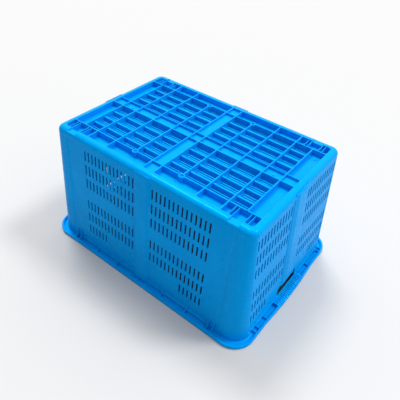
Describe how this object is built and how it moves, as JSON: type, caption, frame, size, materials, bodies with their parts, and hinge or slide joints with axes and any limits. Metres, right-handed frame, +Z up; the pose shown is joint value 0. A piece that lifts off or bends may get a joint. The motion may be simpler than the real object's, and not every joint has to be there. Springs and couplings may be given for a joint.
{
  "type": "ventilated livestock crate",
  "caption": "Tapered ventilated plastic stacking crate standing mouth down, with a ribbed base, slotted walls, a channelled rim and a ribbed hand grip at each end.",
  "frame": {"origin": "centre of the rim's plane, where the upturned crate rests on the floor", "axes": "+X along the long side, +Y along the short side, +Z up from the rim to the ribbed base"},
  "size_m": [0.721, 0.508, 0.366],
  "materials": {
    "blue_plastic": "glossy moulded polypropylene"
  },
  "bodies": {
    "root": {"back_band_rib": "blue_plastic", "back_cross_band": "blue_plastic", "back_foot": "blue_plastic", "back_gussets": "blue_plastic", "back_left_column": "blue_plastic", "back_left_rim": "blue_plastic", "back_left_slats": "blue_plastic", "back_panel_left": "blue_plastic", "back_panel_right": "blue_plastic", "back_pilaster": "blue_plastic", "back_right_column": "blue_plastic", "back_right_rim": "blue_plastic", "back_right_slats": "blue_plastic", "back_rim": "blue_plastic", "back_side_rib": "blue_plastic", "corner_cell_fins": "blue_plastic", "cross_rib_centre_left": "blue_plastic", "cross_rib_centre_right": "blue_plastic", "cross_rib_end_left": "blue_plastic", "cross_rib_end_right": "blue_plastic", "cross_rib_inner_left": "blue_plastic", "cross_rib_inner_right": "blue_plastic", "cross_rib_middle_left": "blue_plastic", "cross_rib_middle_right": "blue_plastic", "cross_rib_outer_left": "blue_plastic", "cross_rib_outer_right": "blue_plastic", "floor_panel": "blue_plastic", "front_band_rib": "blue_plastic", "front_cross_band": "blue_plastic", "front_foot": "blue_plastic", "front_gussets": "blue_plastic", "front_left_column": "blue_plastic", "front_left_rim": "blue_plastic", "front_left_slats": "blue_plastic", "front_panel_left": "blue_plastic", "front_panel_right": "blue_plastic", "front_pilaster": "blue_plastic", "front_right_column": "blue_plastic", "front_right_rim": "blue_plastic", "front_right_slats": "blue_plastic", "front_rim": "blue_plastic", "front_side_rib": "blue_plastic", "gate_bosses": "blue_plastic", "left_foot": "blue_plastic", "left_grip": "blue_plastic", "left_grip_wall": "blue_plastic", "left_gussets": "blue_plastic", "left_panel_back": "blue_plastic", "left_panel_front": "blue_plastic", "left_pilaster": "blue_plastic", "long_band": "blue_plastic", "right_foot": "blue_plastic", "right_grip": "blue_plastic", "right_grip_wall": "blue_plastic", "right_gussets": "blue_plastic", "right_panel_back": "blue_plastic", "right_panel_front": "blue_plastic", "right_pilaster": "blue_plastic"}
  },
  "joints": []
}
